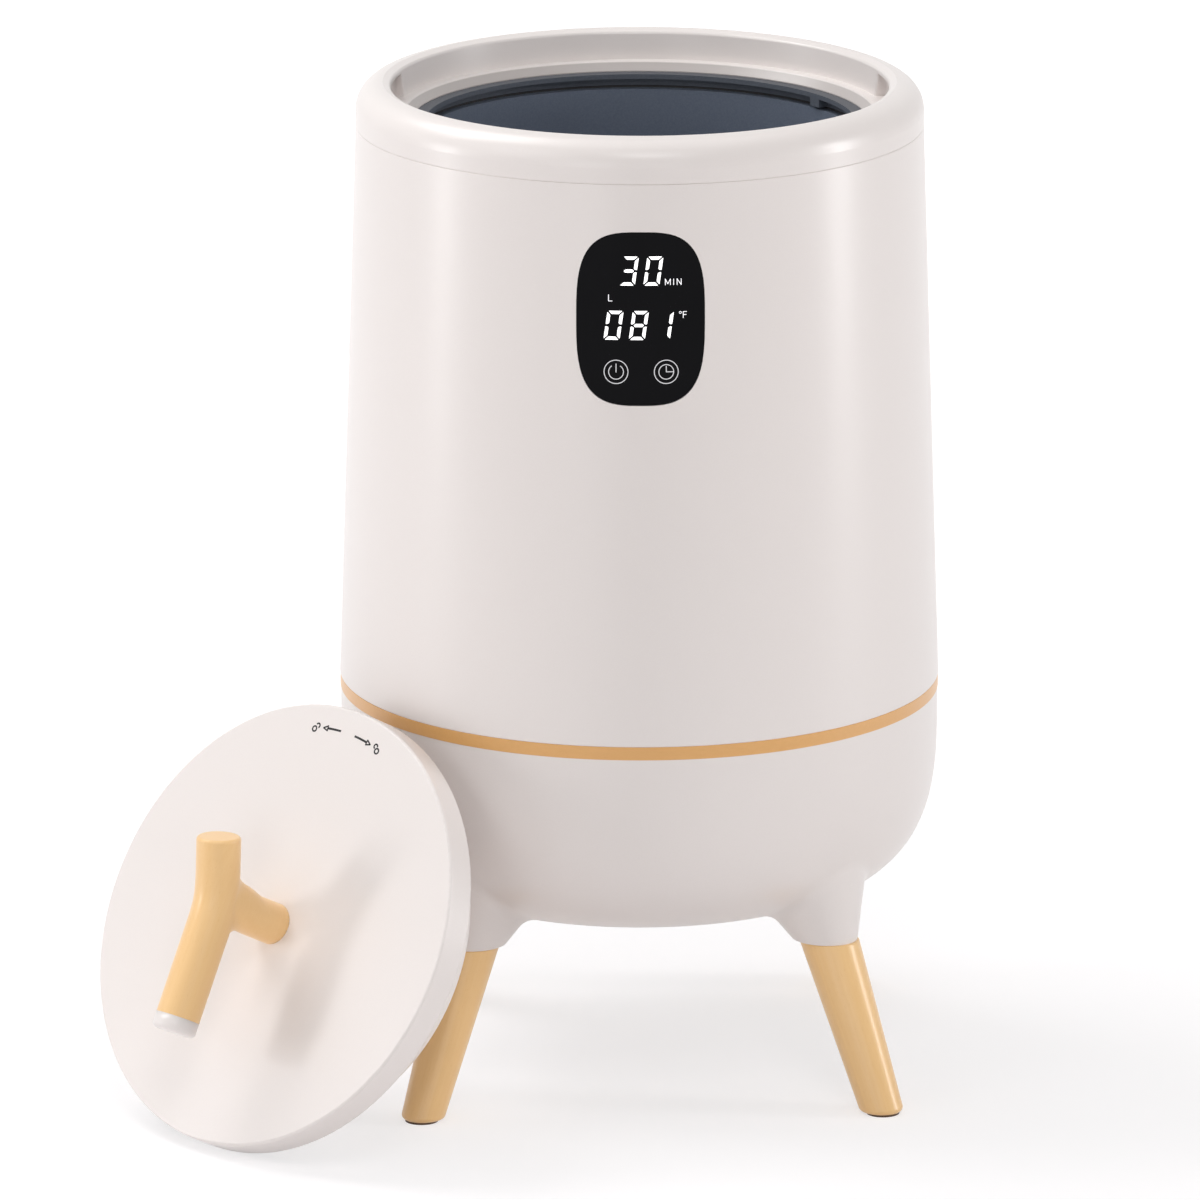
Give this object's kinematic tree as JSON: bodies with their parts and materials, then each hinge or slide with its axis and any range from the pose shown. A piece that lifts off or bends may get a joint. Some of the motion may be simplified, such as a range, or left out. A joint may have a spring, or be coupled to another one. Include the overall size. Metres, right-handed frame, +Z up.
{
  "type": "towel warmer bucket",
  "caption": "Floor-standing towel warmer with a tapered body, deep coated pot, touch panel, splayed wooden legs and a bayonet lid with a branch-shaped handle, leaning beside it.",
  "frame": {"origin": "on the floor under the bucket's axis", "axes": "+Z up along the bucket's axis, -Y towards the touch panel (the front), +X to the right seen from the front"},
  "size_m": [0.4462, 0.402, 0.5345],
  "materials": {
    "cream_plastic": "satin, warm off-white moulding",
    "inner_cream_plastic": "satin",
    "lock_plastic": "satin, dark grey",
    "pot_coating": "smooth dark slate coating",
    "panel_glass": "glossy black window",
    "honey_wood": "satin, honey tone, fine grain",
    "foot_rubber": "matt",
    "seal_silicone": "matt",
    "support_resin": "matt, heat-proof",
    "zinc_steel": "zinc plated",
    "shield_steel": "plain sheet",
    "strap_steel": "plain sheet",
    "heater_silicone": "matt, brick red",
    "insulation_felt": "matt, pale felt",
    "foam": "matt, closed-cell foam",
    "carrier_plastic": "matt black",
    "circuit_board": "green solder mask",
    "digit_plastic": "black light box",
    "key_foam": "conductive foam",
    "black_plastic": "satin",
    "relay_plastic": "gloss blue",
    "transformer_tape": "yellow tape",
    "capacitor_sleeve": "gloss",
    "terminal_plastic": "green",
    "cable_grey": "flat ribbon",
    "plug_nylon": "natural nylon",
    "probe_metal": "plain"
  },
  "bodies": {
    "bucket": {"rim_collar": "cream_plastic", "lock_ring": "lock_plastic", "lock_ring_screws": "zinc_steel", "inner_pot": "pot_coating", "pot_seal": "seal_silicone", "support_ring": "support_resin", "outer_shell": "cream_plastic", "collar_screws": "zinc_steel", "panel_glass": "panel_glass", "panel_carrier": "carrier_plastic", "panel_screws": "zinc_steel", "display_board": "circuit_board", "digit_blocks": "digit_plastic", "key_pads": "key_foam", "buzzer": "black_plastic", "heating_mat": "heater_silicone", "mat_straps": "strap_steel", "insulation_sleeve": "insulation_felt", "bottom_pad": "insulation_felt", "heat_shield": "shield_steel", "thermal_cutout": "probe_metal", "temperature_probe": "probe_metal", "thermal_fuse": "probe_metal", "trim_band": "honey_wood", "base_bowl": "cream_plastic", "base_screws": "zinc_steel", "shield_screws": "zinc_steel", "leg_front_right": "honey_wood", "leg_rear_right": "honey_wood", "leg_rear_left": "honey_wood", "leg_front_left": "honey_wood", "foot_pads": "foot_rubber", "leg_bolts": "zinc_steel", "cord_inlet": "black_plastic", "inlet_nut": "black_plastic", "power_board": "circuit_board", "board_screws": "zinc_steel", "relay": "relay_plastic", "transformer": "transformer_tape", "capacitor": "capacitor_sleeve", "terminal_block": "terminal_plastic", "display_cable": "cable_grey", "cable_plugs": "plug_nylon"},
    "lid": {"lid_shell": "cream_plastic", "lid_liner": "inner_cream_plastic", "lid_seal": "seal_silicone", "lid_insulation": "foam", "lid_screws": "zinc_steel", "handle": "honey_wood", "handle_tip": "cream_plastic", "handle_screw": "zinc_steel"}
  },
  "joints": [
    {"name": "lid_lift", "type": "slide", "parent": "bucket", "child": "lid", "axis": [-0.6189, -0.6409, 0.454], "range_m": [0, 0.2]}
  ]
}
